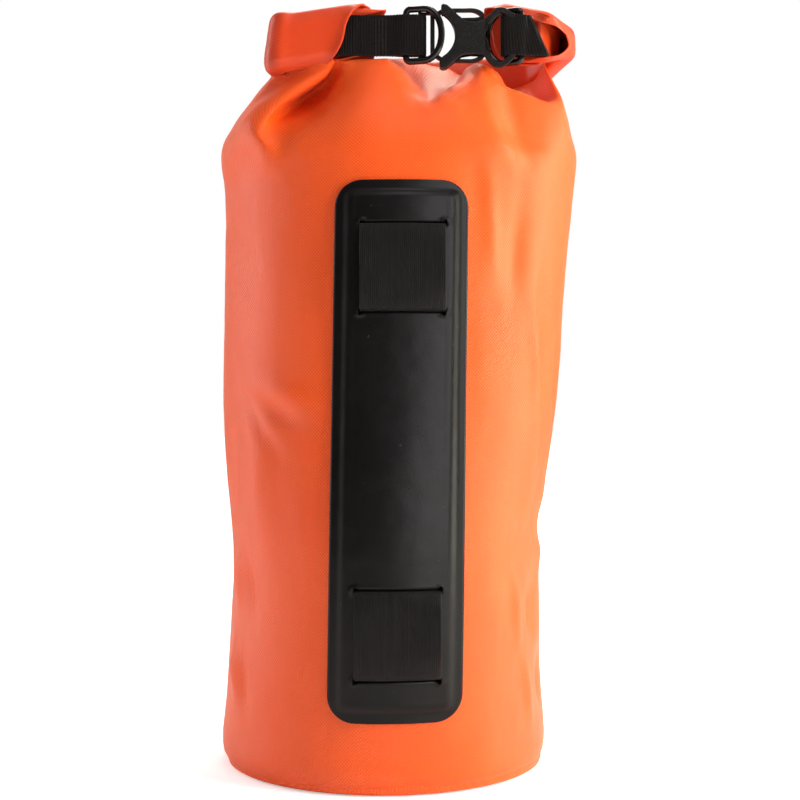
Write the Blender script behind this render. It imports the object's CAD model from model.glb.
"""Roll-top bag of coated cloth, standing upright on its round base.

Z is up, the front faces -Y and the right side, seen from the front, is +X. The wound mouth is bent
into a C in plan, open to the front, where webbing, two D-rings and a buckle bridge the gap. A black
panel over a board runs up the front and carries two wide loops. Tables and shapes are in
millimetres; MM takes them to metres.
"""

import math

import bmesh
import bpy
import numpy as np
from mathutils import Matrix, Vector, noise


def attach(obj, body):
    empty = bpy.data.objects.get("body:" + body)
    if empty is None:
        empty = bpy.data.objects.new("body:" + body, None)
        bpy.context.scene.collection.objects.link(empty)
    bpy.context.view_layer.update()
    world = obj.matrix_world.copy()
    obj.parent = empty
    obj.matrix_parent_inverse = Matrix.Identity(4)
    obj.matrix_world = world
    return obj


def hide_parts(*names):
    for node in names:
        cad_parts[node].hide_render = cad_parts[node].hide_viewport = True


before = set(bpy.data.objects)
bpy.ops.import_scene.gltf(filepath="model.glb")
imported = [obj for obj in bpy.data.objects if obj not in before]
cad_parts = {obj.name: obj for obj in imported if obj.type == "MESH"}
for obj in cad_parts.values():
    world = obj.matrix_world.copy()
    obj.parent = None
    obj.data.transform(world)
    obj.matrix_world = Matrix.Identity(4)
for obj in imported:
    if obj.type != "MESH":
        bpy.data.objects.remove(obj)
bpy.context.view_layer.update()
MM = 0.001

# Middle of the webbing, rings and buckle
STRAP_Y, STRAP_Z = -52.0, 372.0

# Panel, the board under it and the loops on it
PANEL_LOW, PANEL_HIGH = 36.4, 296.4
PANEL_WIDTH, PANEL_CORNER = 64.3, 13.0
PANEL_GAP, PANEL_THICK = 0.62, 0.85
BOARD_LOW, BOARD_HIGH, BOARD_WIDTH = 44.0, 289.0, 49.0
BOARD_RISE = 2.15
LOOP_WIDTH, LOOP_HEIGHT, LOOP_SHIFT = 41.2, 43.5, 0.8
# piece, height of its middle, strength of the crease across it
LOOPS = (("upper_loop", 254.0, 0.3), ("lower_loop", 78.5, 1.0))


# ---------------------------------------------------------------------------- shape tools
def smooth01(value):
    value = np.clip(value, 0.0, 1.0)
    return value * value * (3 - 2 * value)


def window(value, start, rise, end, fall):
    """1 between start and end and 0 outside, with soft shoulders of the given lengths."""
    return smooth01((value - start) / rise) * smooth01((end - value) / fall)


def cloth_noise(x, y, z, scale):
    return noise.noise(Vector((x * scale, y * scale, z * scale)))


def catmull(points, per_span, closed=False):
    """Centripetal Catmull-Rom curve through the points, with per_span samples to a span."""
    points = np.asarray(points, float)
    if closed:
        knots = np.vstack([points[-1], points, points[0], points[1]])
    else:
        before, after = 2 * points[0] - points[1], 2 * points[-1] - points[-2]
        knots = np.vstack([before, points, after])
    curve = []
    for first in range(len(knots) - 3):
        q = knots[first:first + 4]
        k = np.zeros(4)
        for j in range(3):
            k[j + 1] = k[j] + max(np.linalg.norm(q[j + 1] - q[j]), 1e-3) ** 0.5

        def blend(start, end, a, b, t):
            return (k[end] - t) / (k[end] - k[start]) * a + (t - k[start]) / (k[end] - k[start]) * b

        for t in np.linspace(k[1], k[2], per_span, endpoint=False):
            a1, a2, a3 = (blend(j, j + 1, q[j], q[j + 1], t) for j in range(3))
            curve.append(blend(1, 2, blend(0, 2, a1, a2, t), blend(1, 3, a2, a3, t), t))
    if not closed:
        curve.append(knots[-2])
    return np.array(curve)


class Path:
    """A path sampled by its length in plan: x, y and any further columns."""

    def __init__(self, points):
        self.points = points
        steps = np.linalg.norm(np.diff(points[:, :2], axis=0), axis=1)
        self.distance = np.concatenate([[0.0], np.cumsum(steps)])
        self.length = self.distance[-1]

    def get(self, s):
        return np.stack([np.interp(s, self.distance, column) for column in self.points.T], -1)

    def normal(self, s, reach=2.2):
        """Unit vector to the left of the way the path runs."""
        along = self.get(s + reach)[..., :2] - self.get(s - reach)[..., :2]
        along /= np.maximum(np.linalg.norm(along, axis=-1, keepdims=True), 1e-9)
        return np.stack([-along[..., 1], along[..., 0]], -1)


def grid_mesh(name, grid, uv, closed=False):
    """Smooth quad sheet from a (rows, columns, 3) grid; closed joins the last column to the first.

    uv has one entry a grid point, and one more column where the sheet is closed.
    """
    rows, cols = grid.shape[:2]
    cells = [(r, c) for r in range(rows - 1) for c in range(cols if closed else cols - 1)]
    faces = []
    for r, c in cells:
        low, high, after = r * cols, (r + 1) * cols, (c + 1) % cols
        faces.append((low + c, low + after, high + after, high + c))
    mesh = bpy.data.meshes.new(name)
    mesh.from_pydata((grid.reshape(-1, 3) * MM).tolist(), [], faces)
    layer = mesh.uv_layers.new(name="UVMap")
    corners = np.array([uv[i, j] for r, c in cells
                        for i, j in ((r, c), (r, c + 1), (r + 1, c + 1), (r + 1, c))])
    layer.data.foreach_set("uv", corners.astype(np.float32).ravel())
    mesh.polygons.foreach_set("use_smooth", [True] * len(mesh.polygons))
    mesh.update()
    return mesh


def link(name, data, material=None):
    obj = bpy.data.objects.new(name, data)
    bpy.context.scene.collection.objects.link(obj)
    if material:
        data.materials.append(material)
    return obj


def evaluated_mesh(obj):
    bpy.context.view_layer.update()
    graph = bpy.context.evaluated_depsgraph_get()
    return bpy.data.meshes.new_from_object(
        obj.evaluated_get(graph), preserve_all_data_layers=True, depsgraph=graph)


def apply_modifiers(obj):
    mesh = evaluated_mesh(obj)
    obj.modifiers.clear()
    obj.data = mesh


def thicken(obj, thickness, offset=0.0):
    """Gives a sheet a thickness; offset 0 spreads it to both faces, 1 puts it all outside."""
    solidify = obj.modifiers.new("thickness", "SOLIDIFY")
    solidify.thickness = thickness * MM
    solidify.offset = offset
    apply_modifiers(obj)


def register(obj, body, piece=None):
    if piece:
        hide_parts(piece)
    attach(obj, body)


def poly_spline(curve, points, cyclic=False):
    spline = curve.splines.new("POLY")
    spline.points.add(len(points) - 1)
    for point, (x, y, z) in zip(spline.points, points):
        point.co = (x * MM, y * MM, z * MM, 1.0)
    spline.use_cyclic_u = cyclic
    return spline


def curve_to_mesh(obj):
    """Turns a curve object into a mesh object of the same name."""
    mesh = evaluated_mesh(obj)
    name, matrix = obj.name, obj.matrix_world.copy()
    materials = list(obj.data.materials)
    bpy.data.objects.remove(obj)
    bm = bmesh.new()
    bm.from_mesh(mesh)
    bmesh.ops.remove_doubles(bm, verts=bm.verts, dist=1e-6)
    bmesh.ops.recalc_face_normals(bm, faces=bm.faces)
    bm.to_mesh(mesh)
    bm.free()
    solid = link(name, mesh)
    solid.matrix_world = matrix
    if not mesh.materials:
        for material in materials:
            mesh.materials.append(material)
    return solid


# ---------------------------------------------------------------------------- shader tools
class Shader:
    """Builds the nodes of one emptied node tree."""

    def __init__(self, tree):
        tree.nodes.clear()
        self.tree = tree

    def add(self, kind, inputs=None, **settings):
        node = self.tree.nodes.new(kind)
        for name, value in settings.items():
            setattr(node, name, value)
        self.feed(node, inputs or {})
        return node

    def feed(self, node, inputs):
        """Links or sets inputs, given by name or number."""
        for key, value in inputs.items():
            socket = node.inputs[key]
            if isinstance(value, bpy.types.NodeSocket):
                self.tree.links.new(value, socket)
            elif isinstance(value, tuple) and len(value) == 3 and socket.type == "RGBA":
                socket.default_value = (*value, 1.0)
            else:
                socket.default_value = value

    def math(self, operation, *values, clamp=False):
        return self.add("ShaderNodeMath", dict(enumerate(values)),
                        operation=operation, use_clamp=clamp).outputs[0]

    def mix(self, factor, a, b):
        return self.add("ShaderNodeMix", {0: factor, 6: a, 7: b}, data_type="RGBA").outputs[2]

    def ramp(self, factor, stops):
        node = self.add("ShaderNodeValToRGB", {0: factor})
        elements = node.color_ramp.elements
        while len(elements) < len(stops):
            elements.new(0.5)
        for element, (position, colour) in zip(elements, stops):
            element.position = position
            element.color = (*colour, 1.0)
        return node.outputs[0]

    def noise(self, vector, scale, detail=3.0, roughness=0.5):
        return self.add("ShaderNodeTexNoise", {
            "Scale": scale, "Detail": detail, "Roughness": roughness, "Vector": vector,
        }).outputs["Fac"]

    def coords(self, scale=(1.0, 1.0, 1.0)):
        place = self.add("ShaderNodeTexCoord").outputs["Object"]
        return self.add("ShaderNodeMapping", {"Scale": scale, 0: place}).outputs[0]

    def split(self, vector):
        return self.add("ShaderNodeSeparateXYZ", {0: vector}).outputs

    def bump(self, height):
        """Height in metres, onto the material's surface."""
        node = self.add("ShaderNodeBump", {"Strength": 1.0, "Distance": 1.0, "Height": height})
        self.feed(self.bsdf, {"Normal": node.outputs[0]})


def new_material(name):
    material = bpy.data.materials.new(name)
    material.use_nodes = True
    shader = Shader(material.node_tree)
    shader.output = shader.add("ShaderNodeOutputMaterial")
    shader.bsdf = shader.add("ShaderNodeBsdfPrincipled")
    shader.feed(shader.output, {0: shader.bsdf.outputs[0]})
    return material, shader


def tinted(tone, factor, lift=0.0):
    return tuple(channel * factor + lift for channel in tone)


# ---------------------------------------------------------------------------- materials
EMBOSS_PITCH = 1.72


def diamonds(shader):
    """Diamond emboss between -1 and 1, laid out in the cloth's UVs (metres)."""
    frequency = 2 * math.pi / EMBOSS_PITCH * 1000.0
    uv = shader.split(shader.add("ShaderNodeUVMap").outputs[0])
    waves = [shader.math("SINE", shader.math("MULTIPLY", uv[axis], frequency)) for axis in (0, 1)]
    return shader.math("MULTIPLY", *waves)


def coated_fabric(name, colour, deep, weave, rough):
    """Satin coated cloth with an emboss, mottled between two colours; weave scales the emboss."""
    material, shader = new_material(name)
    emboss = diamonds(shader)
    place = shader.add("ShaderNodeTexCoord").outputs["Object"]
    broad = shader.noise(place, scale=14.0, detail=3.0, roughness=0.55)
    medium = shader.noise(place, scale=60.0, detail=4.0, roughness=0.6)
    fine = shader.noise(place, scale=900.0, detail=2.0, roughness=0.6)
    base = shader.mix(shader.math("MULTIPLY", broad, 0.55), colour, deep)
    # The hollows of the emboss are deeper in colour.
    hollow = shader.math("POWER", shader.math("MULTIPLY_ADD", emboss, -0.5, 0.5), 1.4)
    base = shader.mix(shader.math("MULTIPLY", hollow, 0.78 * weave), base, tinted(deep, 0.85))
    shader.feed(shader.bsdf, {
        "Base Color": base,
        "Roughness": shader.math("MULTIPLY_ADD", medium, 0.16, rough - 0.08),
        "Specular IOR Level": 0.42,
        "Subsurface Weight": 0.12,
        "Subsurface Radius": (1.0, 0.25, 0.08),
        "Subsurface Scale": 0.0012,
        "Coat Weight": 0.07,
        "Coat Roughness": 0.33,
        "Sheen Weight": 0.02,
    })
    # Heights of the emboss and the two finer noises
    grain = shader.math("ADD", shader.math("MULTIPLY", medium, 0.00016),
                        shader.math("MULTIPLY", fine, 0.00001))
    shader.bump(shader.math("ADD", shader.math("MULTIPLY", emboss, 0.00008 * weave), grain))
    return material


def panel_fabric(name):
    """Black coated cloth with a faint emboss and specks of dust."""
    material, shader = new_material(name)
    emboss = diamonds(shader)
    place = shader.coords()
    broad = shader.noise(place, scale=22.0)
    medium = shader.noise(place, scale=120.0, detail=4.0, roughness=0.6)
    fine = shader.noise(place, scale=1500.0, detail=2.0)
    specks = shader.noise(place, scale=520.0, detail=1.0, roughness=0.4)
    dust = shader.math("GREATER_THAN", specks, 0.79)
    base = shader.ramp(broad, [(0.3, (0.0011, 0.0011, 0.0012)), (0.7, (0.0024, 0.0023, 0.0024))])
    shader.feed(shader.bsdf, {
        "Base Color": shader.mix(shader.math("MULTIPLY", dust, 0.35), base, (0.07, 0.07, 0.073)),
        "Roughness": shader.math("MULTIPLY_ADD", medium, 0.14, 0.29),
        "Specular IOR Level": 0.24,
    })
    # Heights of the emboss and the two finer noises
    grain = shader.math("ADD", shader.math("MULTIPLY", medium, 0.00010),
                        shader.math("MULTIPLY", fine, 0.000012))
    shader.bump(shader.math("ADD", shader.math("MULTIPLY", emboss, 0.000012), grain))
    return material


def webbing(name, tone, streak, depth, rough):
    """Black woven tape: yarns are noise stretched by streak and raised by depth (metres)."""
    material, shader = new_material(name)
    yarn = shader.noise(shader.coords(streak), scale=1.0, roughness=0.6)
    slow = shader.noise(shader.coords(), scale=90.0)
    fine = shader.noise(shader.coords(), scale=2600.0, detail=2.0, roughness=0.6)
    tint = shader.math("MULTIPLY_ADD", yarn, 0.7, shader.math("MULTIPLY", slow, 0.3))
    shader.feed(shader.bsdf, {
        "Base Color": shader.ramp(tint, [
            (0.32, tinted(tone, 0.62)), (0.50, tone), (0.72, tinted(tone, 1.75))]),
        "Roughness": shader.math("MULTIPLY_ADD", slow, 0.14, rough - 0.07),
        "Specular IOR Level": 0.24,
        "Sheen Weight": 0.02,
        "Sheen Roughness": 0.45,
    })
    shader.bump(shader.math("ADD", shader.math("MULTIPLY", yarn, depth),
                            shader.math("MULTIPLY", fine, 0.00002)))
    return material


def plastic(name, tone, rough, grain, edge=0.6, coat=0.0, speckle=0.0):
    """Moulded plastic: grain height in metres, paler edges by edge, pale specks by speckle."""
    material, shader = new_material(name)
    pits = shader.noise(shader.coords(), scale=2200.0, detail=2.0, roughness=0.55)
    marks = shader.noise(shader.coords((900.0, 900.0, 120.0)), scale=1.0, roughness=0.65)
    slow = shader.noise(shader.coords(), scale=140.0)
    # Convex edges
    point = shader.add("ShaderNodeNewGeometry").outputs["Pointiness"]
    worn = shader.math("MULTIPLY", shader.math("SUBTRACT", point, 0.52), 9.0, clamp=True)
    base = shader.mix(slow, tinted(tone, 0.8), tinted(tone, 1.25))
    spark = shader.noise(shader.coords(), scale=1150.0, detail=2.0, roughness=0.7)
    spark = shader.math("MULTIPLY", shader.math("SUBTRACT", spark, 0.54), 7.0, clamp=True)
    base = shader.mix(shader.math("MULTIPLY", spark, speckle), base, tinted(tone, 3.0, 0.012))
    base = shader.mix(shader.math("MULTIPLY", worn, edge), base, tinted(tone, 2.6))
    marked = shader.math("MULTIPLY_ADD", marks, 0.12, rough - 0.06)
    shader.feed(shader.bsdf, {
        "Base Color": base,
        "Roughness": shader.math("ADD", marked, shader.math("MULTIPLY", worn, -0.10)),
        "Specular IOR Level": 0.34,
        "Coat Weight": coat,
        "Coat Roughness": 0.12,
    })
    shader.bump(shader.math("ADD", shader.math("MULTIPLY", pits, grain),
                            shader.math("MULTIPLY", marks, grain * 0.4)))
    return material


ORANGE, DEEP_ORANGE = (0.93, 0.132, 0.009), (0.74, 0.055, 0.005)
FABRIC = coated_fabric("coated_fabric", ORANGE, DEEP_ORANGE, weave=1.0, rough=0.41)
FABRIC_PLAIN = coated_fabric("coated_fabric_smooth", (0.64, 0.060, 0.009), (0.49, 0.029, 0.005),
                             weave=0.30, rough=0.42)
BASE_FABRIC = coated_fabric("base_fabric_coated", ORANGE, DEEP_ORANGE, weave=0.7, rough=0.45)
PANEL_FABRIC = panel_fabric("black_coated_panel")
LOOP_WEBBING = webbing("loop_elastic", (0.0050, 0.0048, 0.0051), streak=(1050.0, 200.0, 26.0),
                       depth=0.00011, rough=0.66)
STRAP_WEBBING = webbing("closure_webbing", (0.0034, 0.0031, 0.0028),
                        streak=(500.0, 500.0, 1500.0), depth=0.00016, rough=0.52)
THREAD = webbing("thread", (0.02, 0.019, 0.018), streak=(2000.0, 2000.0, 2000.0),
                 depth=0.00003, rough=0.6)
BUCKLE_PLASTIC = plastic("buckle_moulded", (0.0045, 0.0045, 0.0048), rough=0.44,
                         grain=0.000045, speckle=0.8)
RING_PLASTIC = plastic("ring_glossy", (0.0030, 0.0029, 0.0030), rough=0.18, grain=0.000004,
                       edge=0.15, coat=0.4)
BOARD_PLASTIC = plastic("board_sheet", (0.05, 0.05, 0.052), rough=0.55, grain=0.00002)
STIFFENER_PLASTIC = plastic("stiffener_sheet", (0.06, 0.058, 0.055), rough=0.6, grain=0.00003)

# ---------------------------------------------------------------------------- bag body
# Outline of the filled tube: height, half width, x of its middle
TUBE = np.array([
    (0.0, 82.6, -0.4), (3.0, 84.2, -0.4), (8.0, 85.2, -0.3), (16.0, 85.4, -0.2),
    (34.0, 83.6, 0.0), (60.0, 82.0, 0.0), (75.0, 81.6, 0.4), (95.0, 81.4, 0.9),
    (115.0, 81.7, 0.9), (130.0, 82.6, 0.9), (150.0, 84.6, 1.3), (164.0, 86.1, 1.9),
    (190.0, 88.2, 3.3), (216.0, 89.4, 4.4), (243.0, 90.0, 5.2), (265.0, 91.0, 6.1),
    (283.0, 91.9, 6.9), (300.0, 92.9, 7.5)])
TUBE_TOP = 300.0
ROUND_BELOW = 14.0       # circular up to this height, oval above it
HALF_AXES_SUM = 170.4    # half width plus half depth of the oval
EDGE_RADIUS = 11.0       # rounded lower edge
EDGE_INSET = 0.55        # share of that rounding taken off the tube
SKIN_AXIS_X = 4.0        # swellings and dents move the skin away from this axis
BEARING_RADIUS = 86.0

# Lines up the neck: x where the line leaves the tube's top, then x, y, z up to the slit under the
# roll. An eighth point leads into the roll; lines without one go straight up there.
# Front lines run from the left side round to the right side.
NECK_FRONT = [
    # the left end's outer face
    (-85.39, (-86.5, 0, 322), (-81.5, -3, 332), (-77, -6, 339), (-71.5, -10, 345),
     (-65.6, -15, 350.3), (-60.2, -19, 354), (-54.6, -22, 357.5)),
    (-81, (-81, -30, 322), (-77, -30.5, 331), (-71.6, -32, 338), (-65, -35, 345.2),
     (-59, -40, 351), (-55.4, -43, 354.6), (-54.4, -45, 358)),
    (-74, (-76.8, -42, 320), (-74.6, -40.5, 329.5), (-67, -41, 339), (-56, -43, 347.6),
     (-47, -46.5, 353.4), (-43.4, -49, 356.6), (-43.5, -51, 359)),
    # the fold's lip
    (-63, (-68.5, -54.5, 319), (-70.2, -53.5, 327), (-63.5, -53.5, 336), (-47.5, -54.5, 345.5),
     (-35, -55, 351.5), (-28.5, -54.5, 355.5), (-27, -53.5, 359)),
    (-55, (-59.5, -62, 315.5), (-61.5, -60.5, 323), (-54, -57.5, 334), (-41, -54.5, 343.8),
     (-31.5, -53.5, 350), (-26.5, -53, 355), (-25.2, -53.2, 359)),
    # the pocket behind it
    (-47.5, (-50.5, -63, 314.5), (-53, -56, 325), (-50, -45.5, 334), (-42, -38, 342.5),
     (-34, -38, 348.5), (-27, -44, 354), (-24.2, -51, 359)),
    (-39.5, (-41, -67.5, 314), (-40.5, -61, 325), (-36.5, -50, 334), (-31, -42.5, 343),
     (-27, -42, 349.5), (-23.8, -46.5, 354.5), (-22.5, -51.2, 359)),
    # the front wall's left crown, up to the roll's open end
    (-31, (-31.5, -70.8, 314), (-29.5, -67, 325), (-26, -60.5, 335), (-23, -55.5, 344),
     (-21, -53, 350.5), (-20, -52, 355), (-19.5, -52, 359), (-33, -47.5, 360.2)),
    (-18, (-17.5, -74.6, 315), (-15.5, -71.8, 326), (-14, -67, 336), (-12.5, -61.5, 345),
     (-11.5, -56.2, 353.6), (-11, -52.8, 359.2), (-11, -51.2, 361), (-43.5, -43, 359.6)),
    (-4, (-2.5, -76.6, 316), (-1, -73.4, 327), (1, -68.5, 337), (2, -62.5, 346),
     (2, -56.4, 355.2), (1, -51.8, 361), (-1, -49.8, 361.3), (-46.4, -37, 359)),
    # the middle hollow: its near rim, left wall and floor
    (8, (9.5, -76.6, 317), (11.5, -72.8, 328), (12.5, -66.5, 337), (12.4, -59, 344.5),
     (11.2, -51.5, 352.6), (8, -43.6, 361.8), (0.5, -46.5, 361.8), (-46.6, -31, 359)),
    (13, (14, -76.4, 317), (15, -72.4, 328), (16, -65.5, 337.2), (16.2, -56.5, 342.8),
     (15, -43.5, 351.3), (6, -24, 367), (-14, -34, 359), (-46.6, -24, 358.6)),
    (17.5, (18, -76, 317.2), (18.5, -72, 328.3), (19.5, -64.8, 337.4), (19.8, -54.5, 341.4),
     (18.5, -37.5, 350), (11, -12, 369.4), (-22, -16, 358), (-46, -14, 358.2)),
    (22, (22, -75.6, 317.4), (22.3, -71.7, 328.5), (22.5, -64.4, 337.4), (22.6, -53, 340.4),
     (21.5, -34, 350), (17, -8, 368.8), (-16, -2, 355), (-40, -2, 357)),
    (26, (25.8, -75.2, 317.5), (25.5, -71.3, 328.6), (25.5, -63.2, 339), (25.6, -51.6, 341.2),
     (25.2, -33, 350), (24.5, -7, 366.6), (0, 2, 352), (-24, 6, 355)),
    (31, (30.2, -74.7, 317.5), (29.5, -70.4, 329.6), (29, -61.8, 341), (29, -51, 343.2),
     (29.8, -33.6, 350), (32.5, -7.5, 365), (18, 4.5, 349), (-2, 9, 352.5)),
    # the fold right of the middle: left flank, crest, right flank
    (40, (38.5, -73.4, 317), (36.5, -69.8, 328.6), (34.8, -61.4, 340), (34.3, -53.6, 346.6),
     (36, -37.5, 348.6), (39.5, -10, 360.5), (34, 6, 348)),
    (50.5, (47.5, -71.5, 316), (44.8, -68.4, 325.5), (41.6, -62, 336.4), (40.2, -55.2, 346),
     (41, -46.6, 353.2), (43.5, -24, 361.5), (46, 4.5, 350.5)),
    (62.5, (58.5, -67.4, 314), (55.2, -65, 323), (51.6, -61.2, 332), (48.8, -57.2, 341),
     (48, -53, 350), (49, -47, 359), (54, 3.5, 352.5)),
    (67.5, (65, -61, 312.5), (61, -58.2, 321.5), (57.8, -55.4, 331), (55.4, -53, 340.5),
     (55.2, -50, 350), (57, -43, 356), (62, 1.5, 354)),
    # the right hollow behind a rim that falls to the right
    (73.5, (71, -55.2, 311.5), (67.6, -51.8, 320.5), (64.6, -49.4, 329.5), (62.8, -48.2, 338.5),
     (62, -46, 347.6), (65, -28, 345), (71.5, -2.5, 358)),
    (80, (77.5, -51, 312), (75.6, -47.8, 320.5), (74.2, -46, 329), (73.2, -45.4, 337),
     (73, -43.6, 344.2), (75.5, -29, 340.5), (79, -9, 361)),
    (86, (84.8, -45, 313), (84.2, -43.2, 321.5), (84, -42.2, 329.5), (83.8, -41.4, 336),
     (84, -39.6, 341.4), (83, -31, 342.5), (82, -19, 362)),
    # the right shoulder's fold, running up to the roll's right end
    (93, (93.4, -33.5, 314), (93, -34.8, 323), (92, -36.4, 331.5), (91, -37, 338.5),
     (90.6, -34.8, 343.8), (87.6, -30.5, 351.5), (83, -26.5, 363)),
    (97.8, (98.5, -22, 316), (96.8, -24.4, 325.5), (94.8, -28.2, 334.5), (92.8, -30.4, 341.5),
     (90.9, -29.8, 347.5), (87.6, -26.6, 354.5), (83.5, -22.5, 364)),
    (100.2, (102, -3, 320), (98.9, -6, 330), (95.8, -12, 338.5), (93, -17.8, 345),
     (90, -21.5, 351), (87, -20.8, 356.8), (84.5, -17.5, 364.5)),
]
# Back lines go on from the right side round to the left side.
NECK_BACK = [
    (96.5, (98, 19, 320), (95.2, 14, 330), (92.2, 7, 338.5), (89.8, -1, 345.5),
     (88, -7.5, 351), (86.8, -11.5, 357), (86, -12.5, 365)),
    (75.5, (75.5, 50, 319), (74.8, 43, 329), (74.5, 35, 337), (74.5, 26, 343.5),
     (76, 17, 348.5), (78.5, 8.5, 353.5), (80.5, 0.5, 362)),
    (42.5, (42.8, 69.5, 319), (43.5, 60.5, 329), (45.5, 49.5, 336.5), (48.5, 38, 342),
     (52, 27, 346), (56, 18, 348.5), (60, 11, 350.5)),
    (8.5, (9, 74.5, 319), (9.5, 64.5, 329), (10, 53, 335.5), (10.5, 41, 339.5),
     (11, 29.5, 342), (11.5, 20, 343.5), (12, 14.8, 345.5)),
    (-28, (-27, 68.5, 319), (-26.5, 59, 329), (-26, 48.5, 336.5), (-26.5, 38, 342),
     (-28, 27.5, 346.5), (-31, 18.5, 349.5), (-34, 11.8, 352.5)),
    (-61, (-61, 50, 320), (-59, 43.5, 330), (-57, 36.5, 338), (-55.5, 28.5, 344.5),
     (-54.2, 18.5, 349.6), (-52.6, 8.5, 352.8), (-50.5, 1, 356.5)),
    (-80.5, (-81, 26, 321), (-77, 21, 331.5), (-72.5, 15, 339.5), (-67, 7.5, 346),
     (-61.8, 0, 351), (-57, -7, 354.2), (-53.6, -11, 357.5)),
]

# Swellings (+) and dents (-) of the front: x, z, size across, size along, height, turn (degrees)
FRONT_SPOTS = [
    (-72, 268, 7, 26, -1.3, 12), (-78, 300, 8, 18, -1.2, -20), (62, 262, 9, 30, -1.5, -14),
    (84, 236, 8, 26, -1.3, 8), (70, 118, 8, 32, -1.2, 6), (76, 70, 7, 24, 0.9, -8),
    (-74, 96, 7, 40, -0.9, 4), (-62, 186, 10, 46, 0.7, -6), (58, 40, 12, 18, -0.8, 20),
    (-66, 22, 14, 8, -1.2, 10), (66, 16, 14, 7, -1.1, -8), (50, 288, 8, 18, -1.0, 24),
]
# The same round the tube, placed by bearing in degrees (-90 is the front, 0 the right side)
BEARING_SPOTS = [
    # left: a slanting fold with flat cloth under it, and short creases lower down
    (-126, 193.5, 15, 5.0, 2.625, -20), (-131, 184, 17, 4.5, -2.625, -24),
    (-141, 181, 20, 3.8, -2.275, -43), (-139, 150, 11, 26, 2.1, 6),
    (-156, 166, 7, 22, -1.75, 10), (-156, 99, 5, 13, 2.8, 0), (-146, 97, 4, 15, -2.625, 14),
    (-157, 54, 5, 13, 2.625, 14), (-149, 47, 4, 14, -2.275, 12), (176, 40, 10, 7, -2.8, 0),
    (172, 118, 12, 12, -2.1, 0),
    # right: a pinched hollow at the side, soft facets below it and long folds above
    (-5, 126, 13, 8, -3.0, 0), (-8, 111, 12, 7, 1.0, 0), (-24, 84, 10, 15, -4.2, 8),
    (-40, 88, 4.5, 17, 2.1, 10), (-13, 46, 9, 12, -3.5, -6), (-31, 44, 4.5, 16, 1.925, 16),
    (-12, 203, 8, 24, -2.8, 4), (-33, 214, 5, 30, 1.575, 6), (-54, 276, 5, 26, 1.925, 4),
    (-43, 262, 6, 26, -2.1, -4), (-30, 160, 8, 24, 1.575, -10),
    # back: long shallow folds
    (60, 210, 7, 60, -1.6, 6), (118, 170, 7, 70, -1.5, -5), (88, 110, 22, 8, 0.9, 14),
    (140, 250, 6, 34, 1.2, 12), (38, 96, 6, 36, -1.4, -12), (100, 262, 26, 7, -1.1, -10),
    (74, 40, 20, 6, 0.8, 8),
]


def tube_at(z):
    """Half width, half depth and middle x of the tube."""
    width, centre = (np.interp(z, TUBE[:, 0], TUBE[:, column]) for column in (1, 2))
    return width, HALF_AXES_SUM - width if z > ROUND_BELOW else width, centre


def front_y(x, z):
    width, depth, centre = tube_at(z)
    return -depth * math.sqrt(max(0.0, 1 - ((x - centre) / width) ** 2))


def panel_centre(z):
    return 5.7 + 3.6 * (z - PANEL_LOW) / (PANEL_HIGH - PANEL_LOW)


def tube_ring(angle, z):
    """Points of the tube at one height; angle is a number or an array."""
    width, depth, centre = tube_at(z)
    into_edge = max(EDGE_RADIUS - z, 0.0)
    inset = EDGE_INSET * (EDGE_RADIUS - math.sqrt(EDGE_RADIUS ** 2 - into_edge ** 2))
    return np.stack([centre + (width - inset) * np.cos(angle),
                     (depth - inset) * np.sin(angle), np.full_like(angle, z)], -1)


def neck_lines():
    for table, side in ((NECK_FRONT, 1.0), (NECK_BACK, -1.0)):
        for start_x, *points in table:
            if len(points) == 7:
                x, y, z = points[-1]
                points.append((x, y, z + 1.5))
            yield [(start_x, side * front_y(start_x, TUBE_TOP), TUBE_TOP)] + points


def tube_angle(x, y):
    width, depth, centre = tube_at(TUBE_TOP)
    return np.arctan2(y / depth, (x - centre) / width)


def body_grid():
    """Rings from the base to the roll, and how many of them belong to the tube."""
    per_level = 7
    per_line = 9
    lead_heights = (262.0, 281.0)
    lines = []
    for line in neck_lines():
        # Two points of the tube lead the line in, so that it leaves the tube smoothly.
        lead = [tube_ring(tube_angle(*line[0][:2]), z) for z in lead_heights]
        lines.append(catmull(lead + line, per_level)[len(lead) * per_level:])
    levels = np.array(lines).swapaxes(0, 1)
    neck = np.array([catmull(level, per_line, closed=True) for level in levels])
    angles = tube_angle(neck[0][:, 0], neck[0][:, 1])
    heights = [0.0, 0.6, 2.0, 4.0, 7.0, 11.0, *np.arange(16.0, 298.0, 3.6)]
    tube = np.array([tube_ring(angles, z) for z in heights])
    return np.vstack([tube, neck]), len(tube)


def unevenness(x, y, z):
    """Relief of the filled tube at one point, faded out under the panel."""
    height = 0.75 * noise.noise(Vector((x * 0.020, y * 0.020, z * 0.013)))
    height += 0.26 * noise.noise(Vector((x * 0.055 + 7, y * 0.055, z * 0.035)))
    height += 0.10 * noise.noise(Vector((x * 0.16, y * 0.16 + 3, z * 0.11)))
    if y < 0 and 26 < z < 306:
        height *= float(smooth01((abs(x - panel_centre(z)) - 33.0) / 9.0))
    return height


def swell(skin, across, up, size, height, turn, where=1.0):
    """Moves the skin outwards in an oval spot; across and up are distances from its middle."""
    cos, sin = math.cos(math.radians(turn)), math.sin(math.radians(turn))
    u = (across * cos + up * sin) / size[0]
    v = (-across * sin + up * cos) / size[1]
    spot = np.exp(-(u * u + v * v)) * where
    outward = skin[..., :2] - np.array([SKIN_AXIS_X, 0.0])
    outward /= np.maximum(np.linalg.norm(outward, axis=-1, keepdims=True), 1e-6)
    skin[..., :2] += outward * (spot * height)[..., None]


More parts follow.
